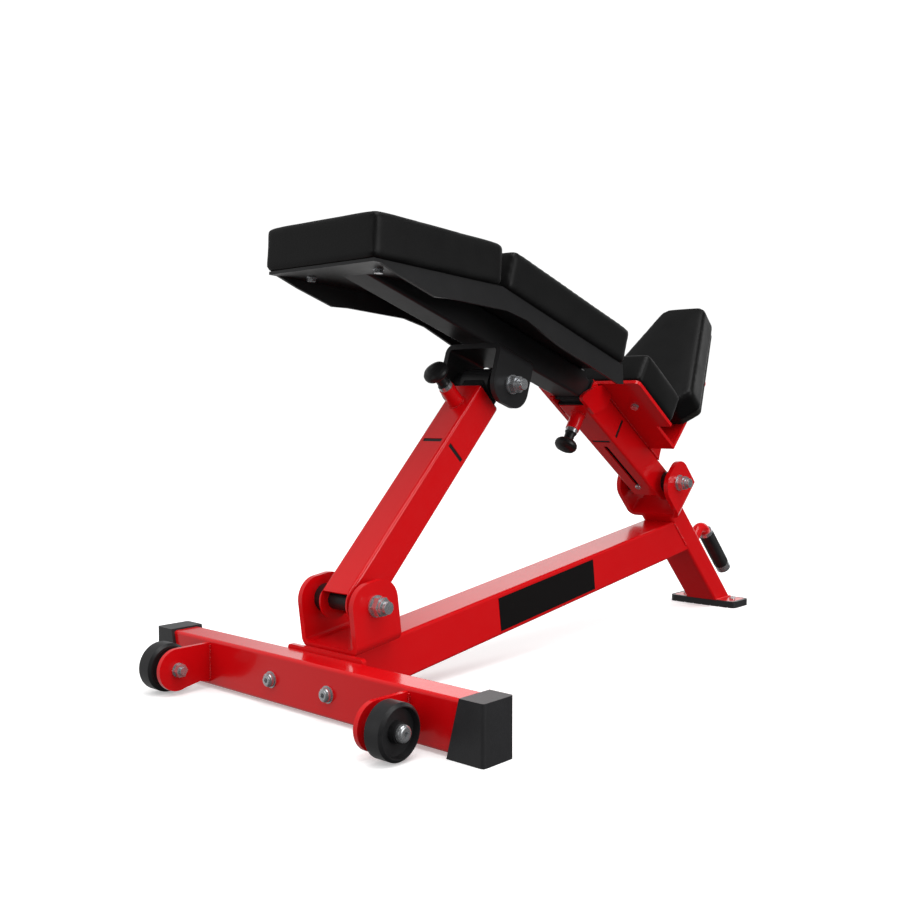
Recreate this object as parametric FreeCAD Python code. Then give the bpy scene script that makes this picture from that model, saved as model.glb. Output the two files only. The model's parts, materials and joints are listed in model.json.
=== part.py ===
import FreeCAD, Part
import math
import os

# Adjustable weight bench. Millimetres and degrees. X runs along the bench from the wheels to
# the rear foot, Y across it, Z up from the floor. Every piece is first built with X measured
# from the front cross tube's face; the last lines move the origin to the middle of the floor
# area that the bench covers.

# ---------------------------------------------------------------- driving dimensions
base_width = 737.0            # over the two rubber caps of the cross tube
steel_wall = 3.2              # wall of every structural tube
plate = 8.0                   # brackets, gussets and flange
floor_gap = 5.0               # the steel stands this far off the floor, on rubber

cross_height = 76.2
cross_depth = 50.8
beam_size = 76.2
beam_slope = 7.63             # the main beam climbs towards the rear
beam_top_at_front = 74.6      # height of the beam's top line over X = 0
leg_depth = 50.8
leg_slope = 45.6              # the rear leg falls towards the foot
leg_front = 880.6             # distance of the leg's front face from the origin, square to the leg
leg_top = 547.4               # where the leg starts, measured down the leg's direction
tube_size = 63.5              # arm, seat post
liner_wall = 2.85
slide_gap = 0.3               # between a sliding tube and its plastic liner
slide_size = tube_size - 2 * (steel_wall + liner_wall + slide_gap)
tube_radius = 5.5             # outside corner of the square tubes

arm_pivot = (101.0, 157.5)    # X and Z of the arm's lower bolt
back_pivot = (429.9, 500.4)   # X and Z of the bolt under the backrest
post_pivot = (1001.4, 300.4)  # X and Z of the seat post's lower bolt
post_slope = 34.6             # the seat post rises towards the wheels
tray_bend = (336.0, 657.5)    # X and Z of the bend in the top of the back tray
lower_slope = 18.0            # the lower back pad falls towards the seat
head_slope = 3.3              # the head pad is flatter
seat_slope = 46.0             # the seat pad rises away from the back

clevis_width = 127.0
clevis_plate = 9.5
clevis_depth = 96.0
clevis_round = 36.0
clevis_reach = 38.0           # ear past the bolt
bolt_d = 19.0
bolt_gap = 0.05               # running fit of a pivot bolt
joint_gap = 0.3               # between pieces that turn past each other
bolt_hex = 28.0                # across the flats of its head and nut
bolt_head = 12.0
washer_r = 17.0
washer_thick = 3.0
screw_d = 8.0                 # pad screws
screw_hex = 13.0
screw_grip = 12.0             # how far a pad screw runs into its board
frame_bolt_d = 12.0           # flange bolts and wheel axles
frame_nut = 19.0
sleeve_d = 32.0
spacer_d = 45.0

pad_width = 250.0
pad_thickness = 68.0
pad_round = 9.0
board_thickness = 15.0
board_inset = 8.0
head_pad_length = 293.0
lower_pad_length = 370.0
pad_gap = 4.0                 # from the tray's bend to each pad
lumbar_thickness = 65.0
seat_length = 302.0
seat_front_width = 104.0
seat_rear_reach = 32.0        # the seat pad runs this far past its widest line
seat_corner = 34.0

tray_plate = 5.0
tray_width = pad_width - 12.0
spine_width = tube_size - 3.5   # it runs between the cheek plates of the post
spine_height = 55.0

wheel_r = 39.0
wheel_width = 33.0
wheel_dish = 10.0             # depth of the recess in a wheel's outer face
axle = (-61.7, 41.6)          # X and Z of the wheel axles
wheel_inner = 245.0           # inner face of a wheel from the middle of the bench
bracket_face = 223.0          # inboard face of a wheel bracket

arm_mouth_to_bolt = 33.1      # open end of the arm's outer tube to the bolt above it
post_mouth = 346.0            # pivot to the open end of the seat post
liner_slot = 128.0            # mouth to the slots that hold the liner
liner_slot_length = 42.0
liner_slot_width = 7.2
pin_from_mouth_arm = 40.0
pin_from_mouth_post = 30.0
pin_d = 12.0
boss_d = 27.0
chamber_r = boss_d / 2 - 4.1   # spring chamber inside the boss
boss_height = 36.0
hole_pitch = 52.0


# ---------------------------------------------------------------- shape helpers
def vec(x, y, z):
    return FreeCAD.Vector(x, y, z)


def box(x0, x1, y0, y1, z0, z1):
    return Part.makeBox(x1 - x0, y1 - y0, z1 - z0, vec(x0, y0, z0))


def slab(x0, x1, width, z0, z1):
    """A box centred on the bench's middle plane."""
    return box(x0, x1, -width / 2, width / 2, z0, z1)


def prism(points, y0, y1):
    """A side-view outline given as (x, z) points, as thick as y0 to y1."""
    corners = [vec(x, y0, z) for x, z in points]
    face = Part.Face(Part.makePolygon(corners + corners[:1]))
    return face.extrude(vec(0, y1 - y0, 0))


def rod_y(x, z, radius, y0, y1):
    return Part.makeCylinder(radius, y1 - y0, vec(x, y0, z), vec(0, 1, 0))


def rod_x(y, z, radius, x0, x1):
    return Part.makeCylinder(radius, x1 - x0, vec(x0, y, z), vec(1, 0, 0))


def rod_z(x, y, radius, z0, z1):
    return Part.makeCylinder(radius, z1 - z0, vec(x, y, z0))


def hexagon(across, z0, z1):
    """A hexagonal prism standing on the Z axis."""
    radius = across / math.sqrt(3)
    turns = [math.radians(60 * i) for i in range(6)]
    ring = [vec(radius * math.cos(t), radius * math.sin(t), z0) for t in turns]
    return Part.Face(Part.makePolygon(ring + ring[:1])).extrude(vec(0, 0, z1 - z0))


def fuse(shapes):
    result = shapes[0].multiFuse(shapes[1:]) if len(shapes) > 1 else shapes[0]
    return result.removeSplitter()


def cut(shape, *tools):
    for tool in tools:
        shape = shape.cut(tool)
    return shape


def mirror_y(shape):
    return shape.mirror(vec(0, 0, 0), vec(0, 1, 0))


def round_edges(shape, radius, along, wanted=lambda middle: True):
    """Rounds the straight edges that run along the vector and whose middle is wanted."""
    chosen = []
    for edge in shape.Edges:
        if not isinstance(edge.Curve, Part.Line):
            continue
        run = edge.Vertexes[1].Point - edge.Vertexes[0].Point
        parallel = abs(run.normalize().dot(along)) > 0.999
        middle = edge.valueAt((edge.FirstParameter + edge.LastParameter) / 2)
        if parallel and wanted(middle):
            chosen.append(edge)
    return shape.makeFillet(radius, chosen) if chosen else shape


def round_bar(x0, x1, width, z0, z1, radius):
    """A solid bar along X with rounded long edges."""
    return round_edges(slab(x0, x1, width, z0, z1), radius, vec(1, 0, 0))


def square_tube(x0, x1, width, z0, z1, wall, radius):
    bore = round_bar(x0 - 1, x1 + 1, width - 2 * wall, z0 + wall, z1 - wall, max(radius - wall, 0.8))
    return round_bar(x0, x1, width, z0, z1, radius).cut(bore)


def place(shape, frame):
    """Moves a shape from a side-view frame (x, z, slope) to the bench. Slope lifts +X."""
    x, z, slope = frame
    moved = shape.copy()
    moved.rotate(vec(0, 0, 0), vec(0, 1, 0), -slope)
    moved.translate(vec(x, 0, z))
    return moved


def point(frame, u, v):
    """Bench X and Z of a point in a side-view frame."""
    x, z, slope = frame
    c = math.cos(math.radians(slope))
    s = math.sin(math.radians(slope))
    return x + u * c - v * s, z + u * s + v * c


def to_frame(frame, x, z):
    """The reverse of point()."""
    dx = x - frame[0]
    dz = z - frame[1]
    c = math.cos(math.radians(frame[2]))
    s = math.sin(math.radians(frame[2]))
    return dx * c + dz * s, -dx * s + dz * c


def across(shape, x, y, z, side):
    """Moves a fastener built along Z so that it points along Y, to the +Y or -Y side."""
    moved = shape.copy()
    moved.rotate(vec(0, 0, 0), vec(1, 0, 0), -90 * side)
    moved.translate(vec(x, y, z))
    return moved


parts = {}


def add(name, shape):
    parts[name] = shape


# ---------------------------------------------------------------- side-view frames
beam_frame = (0.0, beam_top_at_front, beam_slope)
leg_frame = (0.0, 0.0, -leg_slope)
arm_slope = math.degrees(math.atan2(back_pivot[1] - arm_pivot[1], back_pivot[0] - arm_pivot[0]))
arm_length = math.hypot(back_pivot[1] - arm_pivot[1], back_pivot[0] - arm_pivot[0])
arm_mouth = arm_length - arm_mouth_to_bolt
arm_frame = (arm_pivot[0], arm_pivot[1], arm_slope)
post_frame = (post_pivot[0], post_pivot[1], -post_slope)
lower_frame = (tray_bend[0], tray_bend[1], -lower_slope)
head_frame = (tray_bend[0], tray_bend[1], -head_slope)

front_foot_u, front_clevis_height = to_frame(beam_frame, *arm_pivot)
front_clevis_frame = point(beam_frame, front_foot_u, 0) + (beam_slope,)
pivot_along_leg, pivot_off_leg = to_frame(leg_frame, *post_pivot)
rear_clevis_height = leg_top - pivot_along_leg
rear_clevis_frame = point(leg_frame, leg_top, pivot_off_leg) + (90 - leg_slope,)
back_u, back_v = to_frame(lower_frame, *back_pivot)
spine_bottom = -tray_plate - spine_height
back_clevis_height = spine_bottom - back_v
back_clevis_frame = point(lower_frame, back_u, spine_bottom) + (180 - lower_slope,)


# ---------------------------------------------------------------- repeated pieces
def clevis(height, side_bend=16.0):
    """A bent U plate: base on z = 0, two ears up to the bolt at z = height."""
    top = height + clevis_reach
    half = clevis_depth / 2
    bottom = lambda m: m.z < 1
    outer = round_edges(slab(-half, half, clevis_width, 0, top), side_bend, vec(1, 0, 0), bottom)
    inner = slab(-half - 1, half + 1, clevis_width - 2 * clevis_plate, clevis_plate, top + 1)
    inner = round_edges(inner, side_bend - clevis_plate, vec(1, 0, 0), lambda m: m.z < clevis_plate + 1)
    ears = outer.cut(inner)
    ears = round_edges(ears, clevis_round, vec(0, 1, 0), lambda m: m.z > top - 1)
    return ears.cut(rod_y(0, height, bolt_d / 2 + bolt_gap, -clevis_width, clevis_width))


def pivot_bolt(reach):
    """Hex bolt along Z from its head at -reach to its nut end at +reach."""
    head = hexagon(bolt_hex, -reach - bolt_head, -reach)
    return fuse([Part.makeCylinder(bolt_d / 2, 2 * reach + 26.0, vec(0, 0, -reach - 1)), head])


def washer(outer_r, hole_r, z0, z1):
    ring = Part.makeCylinder(outer_r, z1 - z0, vec(0, 0, z0))
    return ring.cut(Part.makeCylinder(hole_r, z1 - z0 + 2, vec(0, 0, z0 - 1)))


def lock_nut(z0):
    body = hexagon(bolt_hex, z0, z0 + bolt_head)
    collar = Part.makeCylinder(bolt_hex * 0.45, 5.0, vec(0, 0, z0 + bolt_head))
    return cut(fuse([body, collar]), Part.makeCylinder(bolt_d / 2, 30.0, vec(0, 0, z0 - 1)))


def cap_bolt(head_d, head_h, shank_d, shank):
    """Button-head screw: head above z = 0, shank below."""
    head = Part.makeCylinder(head_d / 2, head_h)
    head = head.makeFillet(head_h * 0.55, [e for e in head.Edges if e.CenterOfMass.z > head_h - 0.1])
    socket = hexagon(shank_d * 0.6, head_h * 0.45, head_h + 1)
    return fuse([head.cut(socket), Part.makeCylinder(shank_d / 2, shank, vec(0, 0, -shank))])


def hex_bolt(across_flats, head_h, shank_d, shank):
    """Hex screw with a washer face: head above z = 0, shank below."""
    face = Part.makeCylinder(across_flats * 0.62, 1.6)
    head = hexagon(across_flats, 1.6, head_h)
    return fuse([face, head, Part.makeCylinder(shank_d / 2, shank, vec(0, 0, -shank))])


def pivot_set(prefix, center, gap_half, open_middle=False):
    """Bolt, washers, nut and the two spacers of one pivot, across the bench at (x, z)."""
    x, z = center
    face = clevis_width / 2
    thick = washer_thick
    bolt = pivot_bolt(face + thick)
    if open_middle:
        bolt = bolt.cut(Part.makeBox(100, 100, 2 * gap_half, vec(-50, -50, -gap_half)))
    rings = washer(washer_r, bolt_d / 2, face, face + thick)
    group = [bolt, lock_nut(face + thick), rings, rings.mirror(vec(0, 0, 0), vec(0, 0, 1))]
    add(prefix + "_bolt", across(Part.makeCompound(group), x, 0, z, -1))
    inside = face - clevis_plate
    spacer = washer(spacer_d / 2, bolt_d / 2 + bolt_gap, gap_half, inside)
    both = Part.makeCompound([spacer, spacer.mirror(vec(0, 0, 0), vec(0, 0, 1))])
    add(prefix + "_spacers", across(both, x, 0, z, -1))


# ---------------------------------------------------------------- base frame
def cross_tube():
    width = base_width - 10.0
    tube = square_tube(-width / 2, width / 2, cross_depth, 0, cross_height, steel_wall, tube_radius)
    tube.rotate(vec(0, 0, 0), vec(0, 0, 1), 90)
    tube.translate(vec(cross_depth / 2, 0, floor_gap))
    for side in (-1, 1):
        tube = tube.cut(rod_x(side * flange_bolt_y, flange_bolt_z, 6.5, -1, cross_depth + 1))
    return tube


def end_cap(side):
    """Rubber cap over the cross tube's end, with a slanted inner edge."""
    over = 5.5
    low_z = 0.0
    top_z = floor_gap + cross_height + 3.0
    outer = [(0, low_z), (0, top_z), (42.0, top_z), (64.0, low_z)]
    corners = [vec(-over, -base_width / 2 + a, z) for a, z in outer]
    shell = Part.Face(Part.makePolygon(corners + corners[:1])).extrude(vec(cross_depth + 2 * over, 0, 0))
    shell = round_edges(shell, 5.0, vec(0, 0, 1), lambda m: m.y < -base_width / 2 + 1)
    room = round_bar(-base_width / 2 + 5.0, 0, cross_depth, floor_gap, floor_gap + cross_height, tube_radius)
    room.rotate(vec(0, 0, 0), vec(0, 0, 1), 90)
    room.translate(vec(cross_depth / 2, 0, 0))
    cap = shell.cut(room)
    return cap if side < 0 else mirror_y(cap)


flange_bolt_y = 65.4
flange_bolt_z = 41.5


def flange():
    block = box(cross_depth, cross_depth + plate, -86.0, 86.0, floor_gap + 1, 86.5)
    block = round_edges(block, 6.0, vec(1, 0, 0))
    for side in (-1, 1):
        block = block.cut(rod_x(side * flange_bolt_y, flange_bolt_z, 6.5, 0, 100))
    return block


def main_beam():
    tube = square_tube(30.0, 1130.0, beam_size, -beam_size, 0, steel_wall, tube_radius)
    tube = place(tube, beam_frame)
    front = box(-100, cross_depth + plate, -60, 60, -100, 300)
    behind = place(slab(0, 1500, 200, leg_front, leg_front + 600), leg_frame)
    return cut(tube, front, behind)


def rear_leg():
    tube = square_tube(leg_top, 1500.0, beam_size, leg_front, leg_front + leg_depth, steel_wall, tube_radius)
    tube = place(tube, leg_frame)
    return tube.cut(box(0, 3000, -100, 100, -900, foot_plate_top))


foot_plate_top = 15.0
foot_x = (1220.5, 1294.0)
foot_width = 167.0


def foot_plate():
    rim = 7.0
    sheet = slab(foot_x[0] + rim, foot_x[1] - rim, foot_width - 2 * rim, foot_plate_top - 6, foot_plate_top)
    sheet = round_edges(sheet, 7.0, vec(0, 0, 1))
    for side in (-1, 1):
        sheet = sheet.cut(rod_z(foot_screw_x, side * foot_screw_y, 4.2, 0, 40))
    return sheet


foot_screw_x = (foot_x[0] + foot_x[1]) / 2
foot_screw_y = 60.0


def foot_rubber():
    block = round_edges(slab(foot_x[0], foot_x[1], foot_width, 0, foot_plate_top), 12.0, vec(0, 0, 1))
    seat = slab(foot_x[0] + 7, foot_x[1] - 7, foot_width - 14, foot_plate_top - 6, 40)
    block = block.cut(round_edges(seat, 7.0, vec(0, 0, 1)))
    for i in range(7):
        y = (i - 3) * 22.0
        block = block.cut(box(foot_x[0] - 1, foot_x[1] + 1, y - 2, y + 2, -1, 1.6))
    for side in (-1, 1):
        block = block.cut(rod_z(foot_screw_x, side * foot_screw_y, 4.2, 4.8, 40))
    return block


handle_bar_d = 25.4
handle_start = 712.0          # down the leg
handle_off = 70.0             # bar's middle from the leg's rear face
handle_bend = 26.0
grip_span = (748.0, 856.0)
handle_end = 874.0


def handle_tube():
    """Bar that leaves the leg's rear face square and turns down beside it."""
    wall_n = leg_front + leg_depth
    far = wall_n + handle_off
    a = vec(handle_start, 0, wall_n)
    b = vec(handle_start, 0, far - handle_bend)
    c = vec(handle_start + handle_bend, 0, far)
    d = vec(handle_end - 3, 0, far)
    turn = handle_bend * (1 - math.sqrt(0.5))
    mid = vec(handle_start + turn, 0, far - turn)
    path = Part.Wire([Part.LineSegment(a, b).toShape(), Part.Arc(b, mid, c).toShape(),
                      Part.LineSegment(c, d).toShape()])
    ring = Part.Wire(Part.makeCircle(handle_bar_d / 2, a, vec(0, 0, 1)))
    return place(path.makePipeShell([ring], True, False), leg_frame)


def handle_ring(u0, u1, outer_d):
    far = leg_front + leg_depth + handle_off
    tube = rod_x(0, far, outer_d / 2, u0, u1).cut(rod_x(0, far, handle_bar_d / 2, u0 - 1, u1 + 1))
    return place(tube, leg_frame)


def wheel_bracket(side):
    """Plate with a round end about the axle, waisted, welded to the cross tube's face."""
    x, z = axle
    disc = rod_y(x, z, 34.0, 0, plate)
    body = prism([(x, z - 34.0), (-20.0, z - 26.0), (0, z - 30.0), (0, z + 34.0), (x, z + 34.0)], 0, plate)
    whole = fuse([disc, body]).cut(rod_y(x, z, 6.2, -1, plate + 1))
    whole.translate(vec(0, bracket_face, 0))
    return whole if side > 0 else mirror_y(whole)


def wheel(side):
    """Moulded wheel: rounded tread, dished face and a raised hub."""
    r = wheel_r
    w = wheel_width
    bore = frame_bolt_d / 2 + bolt_gap
    dish = w - wheel_dish
    profile = [(bore, 0), (16, 0), (17, 3), (30, 3), (32, 0), (r - 4, 0), (r, 4), (r, w - 4),
               (r - 4, w), (r - 5.5, w), (r - 7, dish), (15, dish), (14, w), (bore, w)]
    corners = [vec(a, b, 0) for a, b in profile]
    solid = Part.Face(Part.makePolygon(corners + corners[:1])).revolve(vec(0, 0, 0), vec(0, 1, 0), 360)
    solid.translate(vec(axle[0], wheel_inner, axle[1]))
    return solid if side > 0 else mirror_y(solid)


def wheel_axle(side):
    """Dome-headed axle bolt with its spacer tube and lock nut, as separate solids."""
    x, z = axle
    outer = wheel_inner + wheel_width
    bolt = cap_bolt(24.0, 8.0, frame_bolt_d, outer - bracket_face + 17.0)
    bolt = across(bolt, x, outer + 0.6, z, 1)
    near = bracket_face + plate
    bore = frame_bolt_d / 2 + 0.02
    spacer = rod_y(x, z, 10.0, near, wheel_inner - 0.4).cut(rod_y(x, z, bore, near - 1, wheel_inner))
    nut = washer(11.5, bore, 0, 2.0)
    nut = fuse([nut, hexagon(frame_nut, 2.0, 12.0).cut(Part.makeCylinder(bore, 40, vec(0, 0, -1)))])
    nut = across(nut, x, bracket_face, z, -1)
    group = [bolt, spacer, nut]
    return group if side > 0 else [mirror_y(piece) for piece in group]


label_span = (428.0, 722.0)   # along the beam
label_height = 60.0


def labels():
    top = -(beam_size - label_height) / 2
    sheet = box(label_span[0], label_span[1], 0, 0.8, top - label_height, top)
    near = sheet.copy()
    near.translate(vec(0, -beam_size / 2 - 0.8, 0))
    far = sheet.copy()
    far.translate(vec(0, beam_size / 2, 0))
    return place(Part.makeCompound([near, far]), beam_frame)


add("front_cross_tube", cross_tube())
add("cross_tube_caps", Part.makeCompound([end_cap(1), end_cap(-1)]))
add("beam_flange", flange())
add("main_beam", main_beam())
bolts = []
for side in (-1, 1):
    screw = cap_bolt(22.0, 8.5, frame_bolt_d, cross_depth + plate + 14.0)
    screw.rotate(vec(0, 0, 0), vec(0, 1, 0), -90)
    screw.translate(vec(-1.6, side * flange_bolt_y, flange_bolt_z))
    ring = washer(13.0, frame_bolt_d / 2 + 0.02, 0, 1.6)
    ring.rotate(vec(0, 0, 0), vec(0, 1, 0), -90)
    ring.translate(vec(0, side * flange_bolt_y, flange_bolt_z))
    bolts += [screw, ring]
    nut = hexagon(frame_nut, 0, 11.0).cut(Part.makeCylinder(frame_bolt_d / 2, 20, vec(0, 0, -1)))
    nut.rotate(vec(0, 0, 0), vec(0, 1, 0), 90)
    nut.translate(vec(cross_depth + plate, side * flange_bolt_y, flange_bolt_z))
    bolts.append(nut)
add("flange_bolts", Part.makeCompound(bolts))
add("beam_labels", labels())
add("front_clevis", place(clevis(front_clevis_height), front_clevis_frame))
add("rear_clevis", place(clevis(rear_clevis_height), rear_clevis_frame))
add("rear_leg", rear_leg())
add("foot_plate", foot_plate())
add("foot_rubber", foot_rubber())
screws = []
for side in (-1, 1):
    screw = cap_bolt(14.0, 4.5, 8.0, 10.0)
    screw.translate(vec(foot_screw_x, side * foot_screw_y, foot_plate_top))
    screws.append(screw)
add("foot_screws", Part.makeCompound(screws))
add("handle_tube", handle_tube())
add("handle_grip", handle_ring(grip_span[0], grip_span[1], 33.0))
collars = [handle_ring(grip_span[0] - 9, grip_span[0], 32.0), handle_ring(grip_span[1], handle_end, 34.0)]
add("handle_collars", Part.makeCompound(collars))
for side, hand in ((1, "left"), (-1, "right")):
    add("wheel_" + hand, wheel(side))
add("wheel_brackets", Part.makeCompound([wheel_bracket(1), wheel_bracket(-1)]))
add("wheel_axles", Part.makeCompound(wheel_axle(1) + wheel_axle(-1)))
pivot_set("arm_pivot", arm_pivot, tube_size / 2 + joint_gap)
pivot_set("post_pivot", post_pivot, tube_size / 2 + joint_gap)


# ---------------------------------------------------------------- telescoping tubes
def outer_tube(mouth, notch_at, drop):
    """Outer tube along +X from the pivot at the origin to its mouth. Its end is rounded about
    the pivot, and the two walls square to the bolt stop short so that the sleeve shows."""
    half = tube_size / 2
    tube = square_tube(-half - 2, mouth, tube_size, drop - half, drop + half, steel_wall, tube_radius)
    straight = slab(0, mouth + 10, 120, drop - half - 1, drop + half + 1)
    rounding = fuse([rod_y(0, drop, half, -60, 60), straight])
    notch = slab(-80, notch_at, tube_size - 2 * steel_wall, drop - 60, drop + 60)
    tube = cut(tube.common(rounding), notch)
    return tube.cut(rod_y(0, 0, sleeve_d / 2, -60, 60))


def pivot_sleeve():
    half = tube_size / 2
    return rod_y(0, 0, sleeve_d / 2, -half, half).cut(rod_y(0, 0, bolt_d / 2 + bolt_gap, -half - 1, half + 1))


def liner_slots(mouth, drop, margin):
    """Four slots across the faces of the outer tube, where the liner's tabs snap in."""
    half = tube_size / 2
    x = mouth - liner_slot
    wide = liner_slot_length / 2 - margin
    thick = (liner_slot_width - margin) / 2
    flat = slab(x - thick, x + thick, 2 * wide, drop - half - 2, drop + half + 2)
    side = slab(x - thick, x + thick, tube_size + 4, drop - wide, drop + wide)
    return flat, side


def liner(mouth, drop, pin_x, pin_side):
    """Plastic sleeve inside the mouth, with a lip outside it and snap tabs in the slots."""
    cavity = tube_size - 2 * steel_wall
    bore = slide_size + 2 * slide_gap
    half = cavity / 2
    shell = round_bar(mouth - 145.0, mouth, cavity, drop - half, drop + half, tube_radius - steel_wall)
    outside = tube_size / 2 - 1.5
    lip = round_bar(mouth, mouth + 3.0, 2 * outside, drop - outside, drop + outside, 4.0)
    flat, side = liner_slots(mouth, drop, 0.4)
    limits = round_bar(mouth - 200, mouth, tube_size - 1.6, drop - tube_size / 2 + 0.8,
                       drop + tube_size / 2 - 0.8, tube_radius)
    body = fuse([shell, lip, flat.common(limits), side.common(limits)])
    body = body.cut(round_bar(mouth - 300, mouth + 50, bore, drop - bore / 2, drop + bore / 2, 3.0))
    reach = drop + pin_side * 100.0
    low, high = min(drop, reach), max(drop, reach)
    return body.cut(rod_z(pin_x, 0, pin_d / 2 + 0.5, low, high))


def pin_boss(pin_x, face, side):
    """Boss welded to the tube, with a guide hole at its foot and a spring chamber above."""
    boss = rod_z(0, 0, boss_d / 2, 0, boss_height)
    boss = boss.cut(rod_z(0, 0, chamber_r, 6.0, boss_height + 1))
    boss = boss.cut(rod_z(0, 0, pin_d / 2 + 0.5, -1, 10))
    return orient(boss, pin_x, face, side)


def pin_collar(pin_x, face, side):
    """Bright screwed collar that closes the boss and guides the pin."""
    flat = rod_z(0, 0, boss_d / 2 - 1.5, boss_height, boss_height + 8.0)
    collar = fuse([flat, rod_z(0, 0, chamber_r, boss_height - 6, boss_height)])
    collar = collar.cut(rod_z(0, 0, pin_d / 2 + 0.3, 0, 100))
    return orient(collar, pin_x, face, side)


def pin_rod(pin_x, face, side, tip):
    """Pull pin: rod with a spring shoulder. Its tip stands just off the sliding tube."""
    rod = fuse([rod_z(0, 0, pin_d / 2, tip, boss_height + 24.0), rod_z(0, 0, chamber_r - 1.2, 6.4, 9.0)])
    return orient(rod, pin_x, face, side)


def pin_knob(pin_x, face, side):
    """Mushroom knob: a neck that flares into a domed disc."""
    base = boss_height + 8.6
    profile = [(pin_d / 2, base), (11.5, base), (9.8, base + 4), (9.8, base + 15), (19.0, base + 20),
               (21.5, base + 23), (22.5, base + 27), (22.0, base + 31), (19.0, base + 35), (11.0, base + 38),
               (0, base + 39), (0, boss_height + 24.0), (pin_d / 2, boss_height + 24.0)]
    corners = [vec(a, 0, b) for a, b in profile]
    knob = Part.Face(Part.makePolygon(corners + corners[:1])).revolve(vec(0, 0, 0), vec(0, 0, 1), 360)
    return orient(knob, pin_x, face, side)


def orient(shape, pin_x, face, side):
    """Puts a pull-pin piece on the face z = face of a tube, pointing to +Z or -Z."""
    moved = shape.copy()
    if side < 0:
        moved.rotate(vec(0, 0, 0), vec(1, 0, 0), 180)
    moved.translate(vec(pin_x, 0, face))
    return moved


def pull_pin(prefix, frame, mouth, drop, from_mouth, side, flip):
    """All the pieces of one pull pin; flip turns the tube's frame end for end."""
    face = drop + side * tube_size / 2
    x = mouth - from_mouth
    tip = -(tube_size - slide_size) / 2 + 0.4
    pieces = {"_boss": pin_boss(x, face, side), "_collar": pin_collar(x, face, side),
              "_pull_pin": pin_rod(x, face, side, tip), "_knob": pin_knob(x, face, side)}
    for suffix, piece in pieces.items():
        add(prefix + suffix, place(flip(piece), frame))


def same(shape):
    return shape


def end_for_end(shape):
    moved = shape.copy()
    moved.rotate(vec(0, 0, 0), vec(0, 0, 1), 180)
    return moved


# ---------------------------------------------------------------- support arm
arm_pin_x = arm_mouth - pin_from_mouth_arm
arm_drop = 0.0
bush_r = 28.5


def arm_tube():
    tube = outer_tube(arm_mouth, -6.0, arm_drop)
    tube = cut(tube, *liner_slots(arm_mouth, arm_drop, 0))
    return tube.cut(rod_z(arm_pin_x, 0, pin_d / 2 + 0.5, 0, 60))


def arm_slide():
    """Inner tube with its row of locking holes, welded to the head bush."""
    half = slide_size / 2
    tube = square_tube(48.0, arm_length, slide_size, -half, half, 3.0, 4.5)
    for i in range(6):
        x = arm_pin_x - i * hole_pitch
        tube = tube.cut(rod_z(x, 0, pin_d / 2 + 0.6, 0, half + 5))
    return tube.cut(rod_y(arm_length, 0, bush_r, -60, 60))


def arm_head():
    half = tube_size / 2
    bush = rod_y(arm_length, 0, bush_r, -half, half)
    return bush.cut(rod_y(arm_length, 0, bolt_d / 2 + 0.5, -half - 1, half + 1))


add("arm_tube", place(arm_tube(), arm_frame))
add("arm_pivot_sleeve", place(pivot_sleeve(), arm_frame))
add("arm_liner", place(liner(arm_mouth, arm_drop, arm_pin_x, 1), arm_frame))
pull_pin("arm", arm_frame, arm_mouth, arm_drop, pin_from_mouth_arm, 1, same)
add("arm_slide_tube", place(arm_slide(), arm_frame))
add("arm_head_bush", place(arm_head(), arm_frame))


# ---------------------------------------------------------------- seat post
post_drop = -7.8              # the post's middle line passes below its bolt
post_pin_x = post_mouth - pin_from_mouth_post
stop_slot = (38.0, 200.0)     # along the post, from the pivot
stop_slot_width = 9.6
slide_start = 368.0           # where the sliding tube meets the spine
post_top = post_drop + tube_size / 2
post_front = post_drop - tube_size / 2


def seat_post_tube():
    tube = outer_tube(post_mouth, 8.0, post_drop)
    tube = cut(tube, *liner_slots(post_mouth, post_drop, 0))
    tube = tube.cut(rod_z(post_pin_x, 0, pin_d / 2 + 0.5, post_front - 10, post_drop))
    low = slab(stop_slot[0], stop_slot[1], stop_slot_width, post_front - 5, post_front + 8)
    return tube.cut(round_edges(low, stop_slot_width / 2 - 0.05, vec(0, 0, 1)))


def post_slide():
    """Tube inside the post, with locking holes on its front face."""
    half = slide_size / 2
    tube = square_tube(34.0, slide_start, slide_size, post_drop - half, post_drop + half, 3.0, 4.5)
    for i in range(4):
        tube = tube.cut(rod_z(post_pin_x - i * 50.0, 0, pin_d / 2 + 0.6, post_drop - half - 5, post_drop))
    return tube.cut(rod_z(stop_slot[0] + 6.0, 0, 3.0, post_drop - half - 5, post_drop))


def stop_screw():
    head = cap_bolt(13.0, 4.5, 6.0, 12.5)
    head.rotate(vec(0, 0, 0), vec(1, 0, 0), 180)
    head.translate(vec(stop_slot[0] + 6.0, 0, post_front - 0.5))
    return head


def post_cheek(side):
    """Side plate at the mouth: it guides the spine's end and carries the seat bracket."""
    outline = [(374.0, post_front), (318.0, post_front), (290.0, post_front + 34.0), (290.0, post_top),
               (326.0, post_top), (341.0, post_top - 14.0), (362.0, post_front + 22.0)]
    sheet = prism(outline, tube_size / 2, tube_size / 2 + plate)
    sheet = round_edges(sheet, 7.0, vec(0, 1, 0), lambda m: m.x > 360 and m.z < post_front + 5)
    return sheet if side > 0 else mirror_y(sheet)


lumbar_span = (180.0, 330.0)  # along the post, from the pivot
seat_corner_x = 103.5         # where the bracket turns up
bracket_plate = 7.0
bracket_narrow = 178.0
upright_lean = 90 - seat_slope - post_slope


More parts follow.
